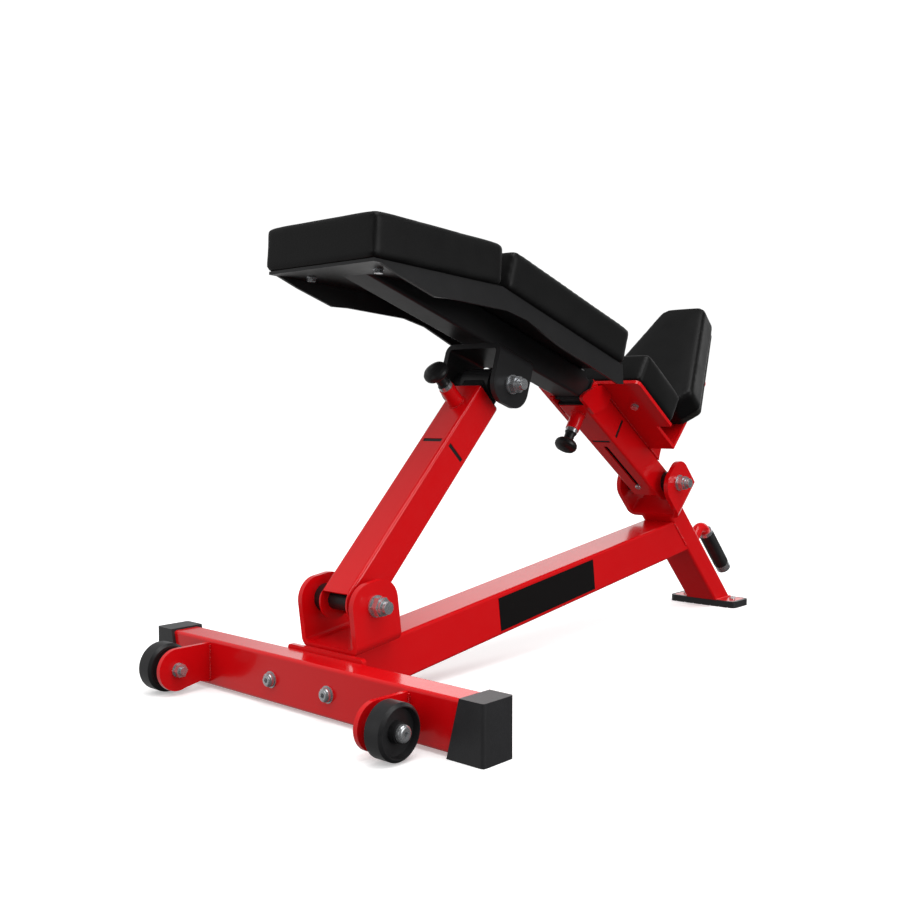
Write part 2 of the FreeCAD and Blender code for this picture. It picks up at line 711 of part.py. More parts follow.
def seat_bracket():
    """Bent plate: a wide flat on the post, a narrower run, then the seat's upright."""
    floor_z = post_top
    wide = slab(lumbar_span[0], lumbar_span[1], pad_width - 6, floor_z, floor_z + bracket_plate)
    wide = round_edges(wide, 10.0, vec(0, 0, 1), lambda m: m.x > 200)
    run_start = seat_corner_x - bracket_plate
    run = slab(run_start, lumbar_span[0] + 1, bracket_narrow, floor_z, floor_z + bracket_plate)
    upright = slab(-bracket_plate, 0, bracket_narrow, 0, seat_plate_length)
    upright = round_edges(upright, 24.0, vec(1, 0, 0), lambda m: m.z > seat_plate_length - 1)
    upright = seat_square(upright)
    shape = fuse([wide, run, upright]).cut(slab(0, 400, 400, floor_z - 20, floor_z))
    for x, y in lumbar_screws:
        shape = shape.cut(rod_z(x, y, screw_d / 2 + 0.3, floor_z - 5, floor_z + 20))
    for t, y in seat_screws:
        shape = shape.cut(seat_square(rod_x(y, t, screw_d / 2 + 0.3, -20, 20)))
    return shape


seat_plate_length = 210.0
lumbar_screws = [(254.0, 76.0), (254.0, -76.0)]
seat_screw_side = tube_size / 2 + 13.25   # clear of the ribs, which stop at the post's sides
seat_screws = [(80.0, seat_screw_side), (80.0, -seat_screw_side), (170.0, 0.0)]


def seat_square(shape):
    """From a frame on the upright's front face (x into the plate, z up it) to the post frame."""
    moved = shape.copy()
    moved.rotate(vec(0, 0, 0), vec(0, 1, 0), -upright_lean)
    moved.translate(vec(seat_corner_x, 0, post_top))
    return moved


def bracket_ribs():
    """Two ribs behind the seat's upright, flush with the sides of the post."""
    lean = math.tan(math.radians(upright_lean))
    foot = seat_corner_x - bracket_plate - 0.1
    outline = [(foot, post_top), (52.0, post_top), (60.0, post_top + 34.0)]
    outline.append((foot - 84.0 * lean, post_top + 84.0))
    rib = prism(outline, tube_size / 2 - 7.0, tube_size / 2)
    return Part.makeCompound([rib, mirror_y(rib)])


def on_post(shape):
    return place(end_for_end(shape), post_frame)


add("seat_post_tube", on_post(seat_post_tube()))
add("post_pivot_sleeve", on_post(pivot_sleeve()))
add("post_liner", on_post(liner(post_mouth, post_drop, post_pin_x, -1)))
add("post_cheeks", on_post(Part.makeCompound([post_cheek(1), post_cheek(-1)])))
pull_pin("post", post_frame, post_mouth, post_drop, pin_from_mouth_post, -1, end_for_end)
add("seat_bracket", on_post(seat_bracket()))
add("seat_bracket_ribs", on_post(bracket_ribs()))


# ---------------------------------------------------------------- seat and lumbar pads
seat_surface = (940.7, 492.8)     # X and Z of a point on the seat, at its widest line
seat_frame = (seat_surface[0], seat_surface[1], seat_slope)
seat_pad_thickness = 58.0


def pad_block(u0, u1, width, v0, thickness):
    """A cushion with all its edges rounded, pocketed underneath for its board."""
    block = slab(u0, u1, width, v0, v0 + thickness)
    block = block.makeFillet(pad_round, block.Edges)
    return block.cut(board_block(u0, u1, width, v0))


def board_block(u0, u1, width, v0):
    return slab(u0 + board_inset, u1 - board_inset, width - 2 * board_inset, v0, v0 + board_thickness)


def seat_outline(inset, v0, v1):
    """The tapered seat: wide at its lower edge and narrow at the top."""
    low = -seat_rear_reach + inset
    high = seat_length - seat_rear_reach - inset
    wide = pad_width / 2 - inset
    narrow = seat_front_width / 2 - inset * 0.8
    chamfer = seat_corner - inset * 0.5
    half = [(low, wide - chamfer), (low + chamfer, wide), (high, narrow)]
    ring = half + [(u, -y) for u, y in reversed(half)]
    corners = [vec(u, y, v0) for u, y in ring]
    block = Part.Face(Part.makePolygon(corners + corners[:1])).extrude(vec(0, 0, v1 - v0))
    block = round_edges(block, 14.0, vec(0, 0, 1), lambda m: m.x < high - 1)
    return round_edges(block, 24.0, vec(0, 0, 1), lambda m: m.x > high - 1)


def seat_pad():
    block = seat_outline(0, -seat_pad_thickness, 0)
    rims = [e for e in block.Edges if abs(e.BoundBox.ZMax - e.BoundBox.ZMin) < 0.1]
    block = block.makeFillet(pad_round, rims)
    return block.cut(seat_board())


upright_u, upright_v = to_frame(seat_frame, *point(post_frame, -seat_corner_x, post_top))


def seat_board():
    return seat_outline(board_inset, upright_v, -seat_pad_thickness + 3.0)


def screw_holes(shape, screws, radius, v0, v1):
    for x, y in screws:
        shape = shape.cut(rod_z(x, y, radius, v0, v1))
    return shape


lumbar_base = post_top + bracket_plate
lumbar = pad_block(lumbar_span[0], lumbar_span[1], pad_width - 4, lumbar_base, lumbar_thickness)
lumbar_board = board_block(lumbar_span[0], lumbar_span[1], pad_width - 4, lumbar_base)
hole_top = lumbar_base + screw_grip
lumbar_board = screw_holes(lumbar_board, lumbar_screws, screw_d / 2, lumbar_base - 1, hole_top)
add("lumbar_pad", on_post(lumbar))
add("seat_pad", place(seat_pad(), seat_frame))
board = place(seat_board(), seat_frame)
for t, y in seat_screws:
    board = board.cut(on_post(seat_square(rod_x(y, t, screw_d / 2, -1, 10))))
add("seat_pad_boards", Part.makeCompound([board, on_post(lumbar_board)]))

screws = []
for x, y in lumbar_screws:
    screw = hex_bolt(screw_hex, 6.5, screw_d, bracket_plate + screw_grip)
    screw.rotate(vec(0, 0, 0), vec(1, 0, 0), 180)
    screw.translate(vec(x, y, post_top))
    screws.append(on_post(screw))
for t, y in seat_screws:
    screw = hex_bolt(screw_hex, 6.5, screw_d, bracket_plate + 10.0)
    screw.rotate(vec(0, 0, 0), vec(0, 1, 0), -90)
    screw.translate(vec(-bracket_plate, y, t))
    screws.append(on_post(seat_square(screw)))
add("seat_screws", Part.makeCompound(screws))


# ---------------------------------------------------------------- backrest
spine_span = (-225.0, 385.0)   # it runs on under the head pad until it meets the tray
end_plate = 4.0
tray_front = (45.5, 674.8)
tray_rear = (694.0, 541.2)
pad_screw_y = 76.0


def back_tray():
    """Folded sheet under both pads: a bent top and two side flanges with shaped lower edges."""
    half = tray_width / 2
    front_u = to_frame(head_frame, *tray_front)[0]
    rear_u = to_frame(lower_frame, *tray_rear)[0]
    top = [point(head_frame, front_u, 0), tray_bend, point(lower_frame, rear_u, 0)]
    under = [point(lower_frame, rear_u, -tray_plate), point(lower_frame, 0, -tray_plate),
             point(head_frame, front_u, -tray_plate)]
    sheet = prism(top + under, -half, half)
    edge = [(697.0, 505.0), (680.0, 505.0), (499.0, 566.0), (400.0, 607.0), (347.0, 619.0),
            (212.0, 628.0), (175.0, 628.0), (102.0, 652.0), (61.0, 668.0)]
    flange_plate = prism(top + edge, half - tray_plate, half)
    tray = fuse([sheet, flange_plate, mirror_y(flange_plate)])
    for frame, u, y in pad_screws:
        tray = tray.cut(place(rod_z(u, y, screw_d / 2 + 0.3, -20, 20), frame))
    return tray


pad_screws = []
for y in (-pad_screw_y, pad_screw_y):
    pad_screws += [(head_frame, -240.0, y), (head_frame, -60.0, y)]
    pad_screws += [(lower_frame, 60.0, y), (lower_frame, 310.0, y)]


def spine():
    start, end = spine_span
    tube = square_tube(start, end, spine_width, spine_bottom, -tray_plate, steel_wall, tube_radius)
    above = place(slab(-600, 60, 300, -tray_plate, 300), head_frame)
    return place(tube, lower_frame).cut(above)


def spine_end():
    low = slab(spine_span[1], spine_span[1] + end_plate, spine_width, spine_bottom - 4, -tray_plate)
    return place(low, lower_frame)


add("back_tray", back_tray())
add("spine_tube", spine())
add("spine_end_plate", spine_end())
inside_spine = slab(spine_span[1] - 200, spine_span[1] + end_plate, 300, -300, 300)
add("post_slide_tube", on_post(post_slide()).cut(place(inside_spine, lower_frame)))
add("slide_stop_screw", on_post(stop_screw()))
add("back_clevis", place(clevis(back_clevis_height), back_clevis_frame))

head = pad_block(-pad_gap - head_pad_length, -pad_gap, pad_width, 0, pad_thickness)
head_board = board_block(-pad_gap - head_pad_length, -pad_gap, pad_width, 0)
lower = pad_block(pad_gap + 2, pad_gap + 2 + lower_pad_length, pad_width, 0, pad_thickness)
lower_board = board_block(pad_gap + 2, pad_gap + 2 + lower_pad_length, pad_width, 0)
add("head_pad", place(head, head_frame))
add("lower_back_pad", place(lower, lower_frame))
head_board = place(head_board, head_frame)
lower_board = place(lower_board, lower_frame)
screws = []
for frame, u, y in pad_screws:
    hole = place(rod_z(u, y, screw_d / 2, -1, screw_grip), frame)
    head_board = head_board.cut(hole)
    lower_board = lower_board.cut(hole)
    screw = hex_bolt(screw_hex, 6.5, screw_d, tray_plate + screw_grip)
    screw.rotate(vec(0, 0, 0), vec(1, 0, 0), 180)
    screw.translate(vec(u, y, -tray_plate))
    screws.append(place(screw, frame))
add("back_pad_boards", Part.makeCompound([head_board, lower_board]))
add("back_pad_screws", Part.makeCompound(screws))

# The bolt under the backrest is kept as its two visible ends, clear of the arm's bush.
pivot_set("back_pivot", back_pivot, tube_size / 2 + joint_gap, open_middle=True)


# ---------------------------------------------------------------- origin and files
low_x = min(shape.BoundBox.XMin for shape in parts.values())
high_x = max(shape.BoundBox.XMax for shape in parts.values())
shift = -(low_x + high_x) / 2
os.makedirs("parts", exist_ok=True)
for name, shape in parts.items():
    moved = shape.copy()
    moved.translate(vec(shift, 0, 0))
    moved.exportStep("parts/" + name + ".step")
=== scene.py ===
import json
import math

import bmesh
import bpy
import numpy as np
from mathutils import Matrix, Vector


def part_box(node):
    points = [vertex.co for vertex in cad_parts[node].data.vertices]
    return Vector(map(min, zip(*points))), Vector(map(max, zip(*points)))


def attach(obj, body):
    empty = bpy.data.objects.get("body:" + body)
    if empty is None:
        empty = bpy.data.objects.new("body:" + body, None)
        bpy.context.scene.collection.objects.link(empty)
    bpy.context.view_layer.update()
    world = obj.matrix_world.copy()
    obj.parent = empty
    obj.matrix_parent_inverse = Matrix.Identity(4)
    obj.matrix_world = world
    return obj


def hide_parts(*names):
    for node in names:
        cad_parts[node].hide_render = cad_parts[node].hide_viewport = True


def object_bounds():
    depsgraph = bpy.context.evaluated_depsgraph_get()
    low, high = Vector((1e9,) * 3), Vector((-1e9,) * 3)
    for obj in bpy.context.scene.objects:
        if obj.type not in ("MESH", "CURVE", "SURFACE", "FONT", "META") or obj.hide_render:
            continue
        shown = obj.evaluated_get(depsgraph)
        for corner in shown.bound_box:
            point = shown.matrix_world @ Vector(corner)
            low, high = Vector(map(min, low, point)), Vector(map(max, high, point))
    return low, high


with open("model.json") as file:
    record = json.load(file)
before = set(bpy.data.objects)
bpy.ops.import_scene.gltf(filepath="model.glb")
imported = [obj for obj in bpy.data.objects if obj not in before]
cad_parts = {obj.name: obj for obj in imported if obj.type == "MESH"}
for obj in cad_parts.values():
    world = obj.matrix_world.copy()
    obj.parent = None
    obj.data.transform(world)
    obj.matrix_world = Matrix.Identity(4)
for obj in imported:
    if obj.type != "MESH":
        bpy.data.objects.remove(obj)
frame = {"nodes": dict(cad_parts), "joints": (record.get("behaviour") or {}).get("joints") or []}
cad_low, cad_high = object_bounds()

# ---------------------------------------------------------------- studio
# A white light table under three softboxes, with the viewer low at the wheels' corner of the
# bench. The bench stands on the table at z = 0.
scene = bpy.context.scene
eye = Vector((-1.6477, -1.2334, 0.4572))
yaw = math.radians(47.966)
pitch = math.radians(-2.784)
aim = Vector((math.sin(yaw) * math.cos(pitch), math.cos(yaw) * math.cos(pitch), math.sin(pitch)))
camera_data = bpy.data.cameras.new("camera")
camera_data.lens = 41.79
camera = bpy.data.objects.new("camera", camera_data)
camera.location = eye
camera.rotation_euler = aim.to_track_quat("-Z", "Y").to_euler()
scene.collection.objects.link(camera)
scene.camera = camera


def linear(hexcode):
    """Linear RGBA of an sRGB hex colour."""
    parts = [int(hexcode[i:i + 2], 16) / 255 for i in (1, 3, 5)]
    return tuple(c / 12.92 if c <= 0.04045 else ((c + 0.055) / 1.055) ** 2.4 for c in parts) + (1.0,)


def node(tree, kind, inputs=None, **settings):
    """Adds a node. A socket given as an input is linked, and any other value is set."""
    made = tree.nodes.new(kind)
    for key, value in settings.items():
        setattr(made, key, value)
    for key, value in (inputs or {}).items():
        if isinstance(value, bpy.types.NodeSocket):
            tree.links.new(value, made.inputs[key])
        else:
            made.inputs[key].default_value = value
    return made


def new_material(name):
    material = bpy.data.materials.new(name)
    material.use_nodes = True
    material.node_tree.nodes.clear()
    return material, material.node_tree


def floor_paint():
    """Translucent white light-table sheet, lit faintly from below, with the faintest mottling."""
    material, tree = new_material("studio_white_sheet")
    place = node(tree, "ShaderNodeTexCoord").outputs["Object"]
    mottle = node(tree, "ShaderNodeTexNoise", {"Vector": place, "Scale": 1.5, "Detail": 2.0})
    tone = node(tree, "ShaderNodeMix", {"Factor": mottle.outputs["Fac"], 6: linear("#F4F4F4"),
                                        7: linear("#F8F8F8")}, data_type="RGBA")
    paint = node(tree, "ShaderNodeBsdfPrincipled", {"Base Color": tone.outputs[2], "Roughness": 0.9,
                                                    "Specular IOR Level": 0.1,
                                                    "Emission Color": linear("#FFFFFF"),
                                                    "Emission Strength": 0.32})
    node(tree, "ShaderNodeOutputMaterial", {"Surface": paint.outputs[0]})
    return material


# Gloss and the underside of the bench take their light from the air below, not from the sheet.
floor_mesh = bpy.data.meshes.new("studio_floor")
reach = 14.0
floor_mesh.from_pydata([(-reach, -reach, 0), (reach, -reach, 0), (reach, reach, 0), (-reach, reach, 0)],
                       [], [(0, 1, 2, 3)])
floor_mesh.materials.append(floor_paint())
floor = bpy.data.objects.new("studio_floor", floor_mesh)
scene.collection.objects.link(floor)
floor.visible_glossy = False
floor.visible_diffuse = False

# The air is plain white behind the bench. Soft light is weaker from below, and gloss mirrors a
# white wall past the rear foot and a grey one beyond the far side, with black between them.
world = bpy.data.worlds.new("studio_air")
world.use_nodes = True
air = world.node_tree
air.nodes.clear()
ray = node(air, "ShaderNodeLightPath")
direction = node(air, "ShaderNodeTexCoord").outputs["Generated"]
parts = node(air, "ShaderNodeSeparateXYZ", {"Vector": direction})
fill = node(air, "ShaderNodeMapRange", {"Value": parts.outputs["Z"], "From Min": -0.6, "From Max": 0.6,
                                        "To Min": 0.24, "To Max": 1.08})
toward_wall = node(air, "ShaderNodeVectorMath", {0: direction, 1: (0.93, 0.33, 0.1)}, operation="DOT_PRODUCT")
white_wall = node(air, "ShaderNodeMapRange", {"Value": toward_wall.outputs["Value"], "From Min": 0.78,
                                              "From Max": 0.9, "To Min": 0.0, "To Max": 1.05},
                  interpolation_type="SMOOTHSTEP")
grey_wall = node(air, "ShaderNodeMapRange", {"Value": parts.outputs["Y"], "From Min": 0.45, "From Max": 0.85,
                                             "To Min": 0.03, "To Max": 0.45}, interpolation_type="SMOOTHSTEP")
walls = node(air, "ShaderNodeMath", {0: white_wall.outputs[0], 1: grey_wall.outputs[0]}, operation="ADD")
mirrored = node(air, "ShaderNodeMix", {"Factor": ray.outputs["Is Glossy Ray"], 2: fill.outputs[0],
                                       3: walls.outputs[0]}, data_type="FLOAT")
strength = node(air, "ShaderNodeMix", {"Factor": ray.outputs["Is Camera Ray"], 2: mirrored.outputs[0],
                                       3: 1.05}, data_type="FLOAT")
glow = node(air, "ShaderNodeBackground", {"Color": linear("#FFFFFF"), "Strength": strength.outputs[0]})
node(air, "ShaderNodeOutputWorld", {"Surface": glow.outputs[0]})
scene.world = world
scene.view_settings.view_transform = "Standard"


def soft_light(name, place, size, power):
    """A square softbox that faces the middle of the bench."""
    data = bpy.data.lights.new(name, "AREA")
    data.size = size
    data.energy = power
    lamp = bpy.data.objects.new(name, data)
    lamp.location = place
    lamp.rotation_euler = (Vector((0, 0, 0.3)) - Vector(place)).to_track_quat("-Z", "Y").to_euler()
    scene.collection.objects.link(lamp)


soft_light("overhead_softbox", (-0.4, -0.9, 3.4), 2.6, 62)
soft_light("wheel_end_softbox", (-4.4, 0.9, 1.1), 2.0, 16)
soft_light("near_side_softbox", (0.6, -4.6, 1.2), 2.4, 60)


# ---------------------------------------------------------------- red steel base
# Cross tube, main beam, rear leg, clevises and brackets: mild steel tube and plate, welded,
# then powder coated in one gloss red. The coat is thick and slightly orange-peeled, and faces
# that look up mirror the softbox.
def gloss_powder_coat(name, deep, light, rough, coat):
    """Polyester powder coat: glossy, with orange peel about 2 mm across, drawn at 4 mm to show."""
    material, tree = new_material(name)
    place = node(tree, "ShaderNodeTexCoord").outputs["Object"]
    drift = node(tree, "ShaderNodeTexNoise", {"Vector": place, "Scale": 7.0, "Detail": 3.0})
    tone = node(tree, "ShaderNodeMix", {"Factor": drift.outputs["Fac"], 6: linear(deep), 7: linear(light)},
                data_type="RGBA")
    peel = node(tree, "ShaderNodeTexNoise", {"Vector": place, "Scale": 250.0, "Detail": 1.0})
    dust = node(tree, "ShaderNodeTexNoise", {"Vector": place, "Scale": 38.0, "Detail": 6.0, "Roughness": 0.7})
    gloss = node(tree, "ShaderNodeMapRange", {
        "Value": dust.outputs["Fac"], "From Min": 0.35, "From Max": 0.75,
        "To Min": rough - 0.02, "To Max": rough + 0.04})
    wave = node(tree, "ShaderNodeBump", {"Height": peel.outputs["Fac"], "Strength": 0.06, "Distance": 0.0008})
    skin = node(tree, "ShaderNodeBsdfPrincipled", {
        "Base Color": tone.outputs[2], "Roughness": gloss.outputs[0], "Normal": wave.outputs[0],
        "IOR": 1.5, "Coat Weight": coat, "Coat Roughness": 0.06})
    node(tree, "ShaderNodeOutputMaterial", {"Surface": skin.outputs[0]})
    return material


nodes = frame["nodes"]


def finish_nodes(material, *names):
    """Gives carried-over steel and plastic nodes their real finish."""
    for name in names:
        mesh = nodes[name].data
        mesh.materials.clear()
        mesh.materials.append(material)


red_coat = gloss_powder_coat("gloss_red_powder_coat", "#CC050C", "#D2080F", 0.2, 0.25)
finish_nodes(red_coat, "front_cross_tube", "beam_flange", "main_beam", "front_clevis", "rear_clevis",
             "rear_leg", "foot_plate", "handle_tube", "wheel_brackets")


def bench(frame_at, along, up, across=0.0):
    """Point in a side-view frame (x, z, slope of +X) of the bench, in metres."""
    x, z, slope = frame_at
    c, s = math.cos(math.radians(slope)), math.sin(math.radians(slope))
    return Vector((x + along * c - up * s, across, z + along * s + up * c))


def bead_tree():
    """Lays overlapping weld ripples along the edges of a mesh."""
    tree = bpy.data.node_groups.new("weld_ripples", "GeometryNodeTree")
    face = tree.interface
    face.new_socket("Seams", in_out="INPUT", socket_type="NodeSocketGeometry")
    face.new_socket("Ripple spacing", in_out="INPUT", socket_type="NodeSocketFloat")
    face.new_socket("Bead radius", in_out="INPUT", socket_type="NodeSocketFloat")
    face.new_socket("Paint", in_out="INPUT", socket_type="NodeSocketMaterial")
    face.new_socket("Beads", in_out="OUTPUT", socket_type="NodeSocketGeometry")
    given = node(tree, "NodeGroupInput")
    path = node(tree, "GeometryNodeMeshToCurve", {"Mesh": given.outputs["Seams"]})
    even = node(tree, "GeometryNodeResampleCurve", {"Curve": path.outputs[0],
                                                    "Length": given.outputs["Ripple spacing"]}, mode="LENGTH")
    ball = node(tree, "GeometryNodeMeshIcoSphere", {"Radius": given.outputs["Bead radius"],
                                                    "Subdivisions": 2})
    tangent = node(tree, "GeometryNodeInputTangent")
    turn = node(tree, "FunctionNodeAlignRotationToVector", {"Vector": tangent.outputs[0]}, axis="Z")
    size = node(tree, "FunctionNodeRandomValue", {"Min": (0.9, 0.9, 0.55), "Max": (1.1, 1.1, 0.75),
                                                  "Seed": 4}, data_type="FLOAT_VECTOR")
    spots = node(tree, "GeometryNodeInstanceOnPoints", {
        "Points": even.outputs[0], "Instance": ball.outputs["Mesh"], "Rotation": turn.outputs[0],
        "Scale": size.outputs[0]})
    real = node(tree, "GeometryNodeRealizeInstances", {"Geometry": spots.outputs[0]})
    smooth = node(tree, "GeometryNodeSetShadeSmooth", {"Geometry": real.outputs[0]})
    painted = node(tree, "GeometryNodeSetMaterial", {"Geometry": smooth.outputs[0],
                                                     "Material": given.outputs["Paint"]})
    node(tree, "NodeGroupOutput", {"Beads": painted.outputs[0]})
    return tree


def grow(name, lines, tree, settings):
    """Runs a node tree over a set of lines and keeps the result as a plain mesh."""
    points = []
    edges = []
    for line in lines:
        first = len(points)
        points += [tuple(p) for p in line]
        edges += [(first + i, first + i + 1) for i in range(len(line) - 1)]
    mesh = bpy.data.meshes.new(name)
    mesh.from_pydata(points, edges, [])
    piece = bpy.data.objects.new(name, mesh)
    scene.collection.objects.link(piece)
    modifier = piece.modifiers.new("grow", "NODES")
    modifier.node_group = tree
    for item in tree.interface.items_tree:
        if item.in_out == "INPUT" and item.name in settings:
            modifier[item.identifier] = settings[item.name]
    bpy.context.view_layer.update()
    plain = bpy.data.meshes.new_from_object(piece.evaluated_get(bpy.context.evaluated_depsgraph_get()))
    piece.modifiers.clear()
    piece.data = plain
    return piece


def circle(center, normal, radius, count=24):
    """Closed ring of points about an axis."""
    side = normal.orthogonal().normalized()
    other = normal.normalized().cross(side)
    turns = [2 * math.pi * i / count for i in range(count + 1)]
    return [center + radius * (math.cos(t) * side + math.sin(t) * other) for t in turns]


origin_x = cad_low.x + 0.1007
beam_line = (origin_x, 0.0746, 7.63)
leg_line = (origin_x, 0.0, -45.6)
weld_tree = bead_tree()
half_beam = 0.0381
flange_back = origin_x + 0.0592
tube_front = origin_x - 0.0003
foot_top = 0.0155
clevis_start, clevis_end = 0.073, 0.163
seams = []
# Both sides: flange to beam, front clevis to beam, leg to beam, leg to foot, rear clevis to leg.
for y in (-half_beam, half_beam):
    seams.append([Vector((flange_back, y, z)) for z in (0.012, 0.078)])
    seams.append([bench(beam_line, clevis_start, 0.0, y), bench(beam_line, clevis_end, 0.0, y)])
    seams.append([bench(leg_line, u, 0.8806, y) for u in (0.5705, 0.642)])
    seams.append([Vector((origin_x + x, y, foot_top)) for x in (1.223, 1.288)])
    seams.append([bench(leg_line, 0.5472, v, y) for v in (0.884, 0.928)])
# Across the front clevis's ends, then up the wheel brackets on the cross tube's front.
for u in (0.0695, 0.1665):
    seams.append([bench(beam_line, u, 0.0004, y) for y in (-0.033, 0.033)])
for y in (-0.223, -0.231, 0.223, 0.231):
    seams.append([Vector((tube_front, y, z)) for z in (0.016, 0.072)])
handle_foot = bench(leg_line, 0.712, 0.9318)
handle_weld_radius = 0.0130
leg_normal = bench(leg_line, 0, 1) - bench(leg_line, 0, 0)
seams.append(circle(handle_foot, leg_normal, handle_weld_radius))
base_welds = grow("base_weld_beads", seams, weld_tree,
                  {"Ripple spacing": 0.0026, "Bead radius": 0.0026, "Paint": red_coat})
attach(base_welds, "base")


# ---------------------------------------------------------------- rubber caps and foot
# Moulded black rubber: slanted sleeves over the cross tube's ends and a ribbed pad under the
# leg. The skin has a soft sheen, and bloom makes its black slightly uneven.
def moulded_rubber(name, tone_a, tone_b, grain):
    """Moulded SBR rubber: spark-eroded mould grain, drawn at the size given in grains a metre."""
    material, tree = new_material(name)
    place = node(tree, "ShaderNodeTexCoord").outputs["Object"]
    bloom = node(tree, "ShaderNodeTexNoise", {"Vector": place, "Scale": 22.0, "Detail": 5.0,
                                              "Roughness": 0.65})
    tone = node(tree, "ShaderNodeMix", {"Factor": bloom.outputs["Fac"], 6: linear(tone_a), 7: linear(tone_b)},
                data_type="RGBA")
    pits = node(tree, "ShaderNodeTexVoronoi", {"Vector": place, "Scale": grain})
    bump = node(tree, "ShaderNodeBump", {"Height": pits.outputs["Distance"], "Strength": 0.22,
                                         "Distance": 0.0006})
    body = node(tree, "ShaderNodeBsdfPrincipled", {"Base Color": tone.outputs[2], "Roughness": 0.36,
                                                   "Normal": bump.outputs[0], "IOR": 1.52})
    node(tree, "ShaderNodeOutputMaterial", {"Surface": body.outputs[0]})
    return material


cap_rubber = moulded_rubber("moulded_cap_rubber", "#232324", "#2E2E30", 420.0)
finish_nodes(cap_rubber, "cross_tube_caps", "foot_rubber")


# ---------------------------------------------------------------- bolts, nuts and washers
# Zinc-plated steel: bright, faintly bluish, with a soft crystalline mottle and machining
# marks. The protruding ends of the three pivot bolts carry their threads.
def bright_zinc():
    """Blue zinc plate over turned steel: crystals about 2 mm across."""
    material, tree = new_material("bright_zinc_plate")
    place = node(tree, "ShaderNodeTexCoord").outputs["Object"]
    spangle = node(tree, "ShaderNodeTexVoronoi", {"Vector": place, "Scale": 480.0})
    tone = node(tree, "ShaderNodeMix", {"Factor": spangle.outputs["Distance"], 6: linear("#C6C9CD"),
                                        7: linear("#E6E8EA")}, data_type="RGBA")
    haze = node(tree, "ShaderNodeTexNoise", {"Vector": place, "Scale": 120.0, "Detail": 4.0})
    gloss = node(tree, "ShaderNodeMapRange", {"Value": haze.outputs["Fac"], "To Min": 0.2, "To Max": 0.34})
    plate = node(tree, "ShaderNodeBsdfPrincipled", {"Base Color": tone.outputs[2], "Metallic": 0.85,
                                                    "Roughness": gloss.outputs[0]})
    node(tree, "ShaderNodeOutputMaterial", {"Surface": plate.outputs[0]})
    return material


zinc = bright_zinc()
finish_nodes(zinc, "flange_bolts", "foot_screws", "wheel_axles", "arm_pivot_bolt", "post_pivot_bolt",
             "back_pivot_bolt", "arm_collar", "post_collar", "seat_screws", "back_pad_screws",
             "slide_stop_screw", "handle_collars")


def ring_tree():
    """Stands plain rings square to a line, one every pitch."""
    tree = bpy.data.node_groups.new("rings_on_a_rod", "GeometryNodeTree")
    face = tree.interface
    face.new_socket("Axis", in_out="INPUT", socket_type="NodeSocketGeometry")
    face.new_socket("Pitch", in_out="INPUT", socket_type="NodeSocketFloat")
    face.new_socket("Ring radius", in_out="INPUT", socket_type="NodeSocketFloat")
    face.new_socket("Ring thickness", in_out="INPUT", socket_type="NodeSocketFloat")
    face.new_socket("Skin", in_out="INPUT", socket_type="NodeSocketMaterial")
    face.new_socket("Rings", in_out="OUTPUT", socket_type="NodeSocketGeometry")
    given = node(tree, "NodeGroupInput")
    path = node(tree, "GeometryNodeMeshToCurve", {"Mesh": given.outputs["Axis"]})
    even = node(tree, "GeometryNodeResampleCurve", {"Curve": path.outputs[0],
                                                    "Length": given.outputs["Pitch"]}, mode="LENGTH")
    loop = node(tree, "GeometryNodeCurvePrimitiveCircle", {"Radius": given.outputs["Ring radius"],
                                                           "Resolution": 40})
    wire = node(tree, "GeometryNodeCurvePrimitiveCircle", {"Radius": given.outputs["Ring thickness"],
                                                           "Resolution": 8})
    hoop = node(tree, "GeometryNodeCurveToMesh", {"Curve": loop.outputs[0], "Profile Curve": wire.outputs[0]})
    tangent = node(tree, "GeometryNodeInputTangent")
    turn = node(tree, "FunctionNodeAlignRotationToVector", {"Vector": tangent.outputs[0]}, axis="Z")
    spots = node(tree, "GeometryNodeInstanceOnPoints", {
        "Points": even.outputs[0], "Instance": hoop.outputs[0], "Rotation": turn.outputs[0]})
    real = node(tree, "GeometryNodeRealizeInstances", {"Geometry": spots.outputs[0]})
    smooth = node(tree, "GeometryNodeSetShadeSmooth", {"Geometry": real.outputs[0]})
    skinned = node(tree, "GeometryNodeSetMaterial", {"Geometry": smooth.outputs[0],
                                                     "Material": given.outputs["Skin"]})
    node(tree, "NodeGroupOutput", {"Rings": skinned.outputs[0]})
    return tree


pivots = {j["name"]: Vector(j["pos_m"]) for j in frame["joints"] if "pos_m" in j}
ring_maker = ring_tree()
back_pivot = (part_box("arm_head_bush")[0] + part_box("arm_head_bush")[1]) / 2
for body, name, centre in (("base", "arm", pivots["arm_pivot"]), ("base", "post", pivots["post_pivot"]),
                           ("backrest", "back", back_pivot)):
    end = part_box(name + "_pivot_bolt")[0].y
    axis = [Vector((centre.x, end + 0.0006, centre.z)), Vector((centre.x, end + 0.0062, centre.z))]
    thread = grow(name + "_pivot_bolt_thread", [axis], ring_maker,
                  {"Pitch": 0.0014, "Ring radius": 0.0094, "Ring thickness": 0.0005, "Skin": zinc})
    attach(thread, body)


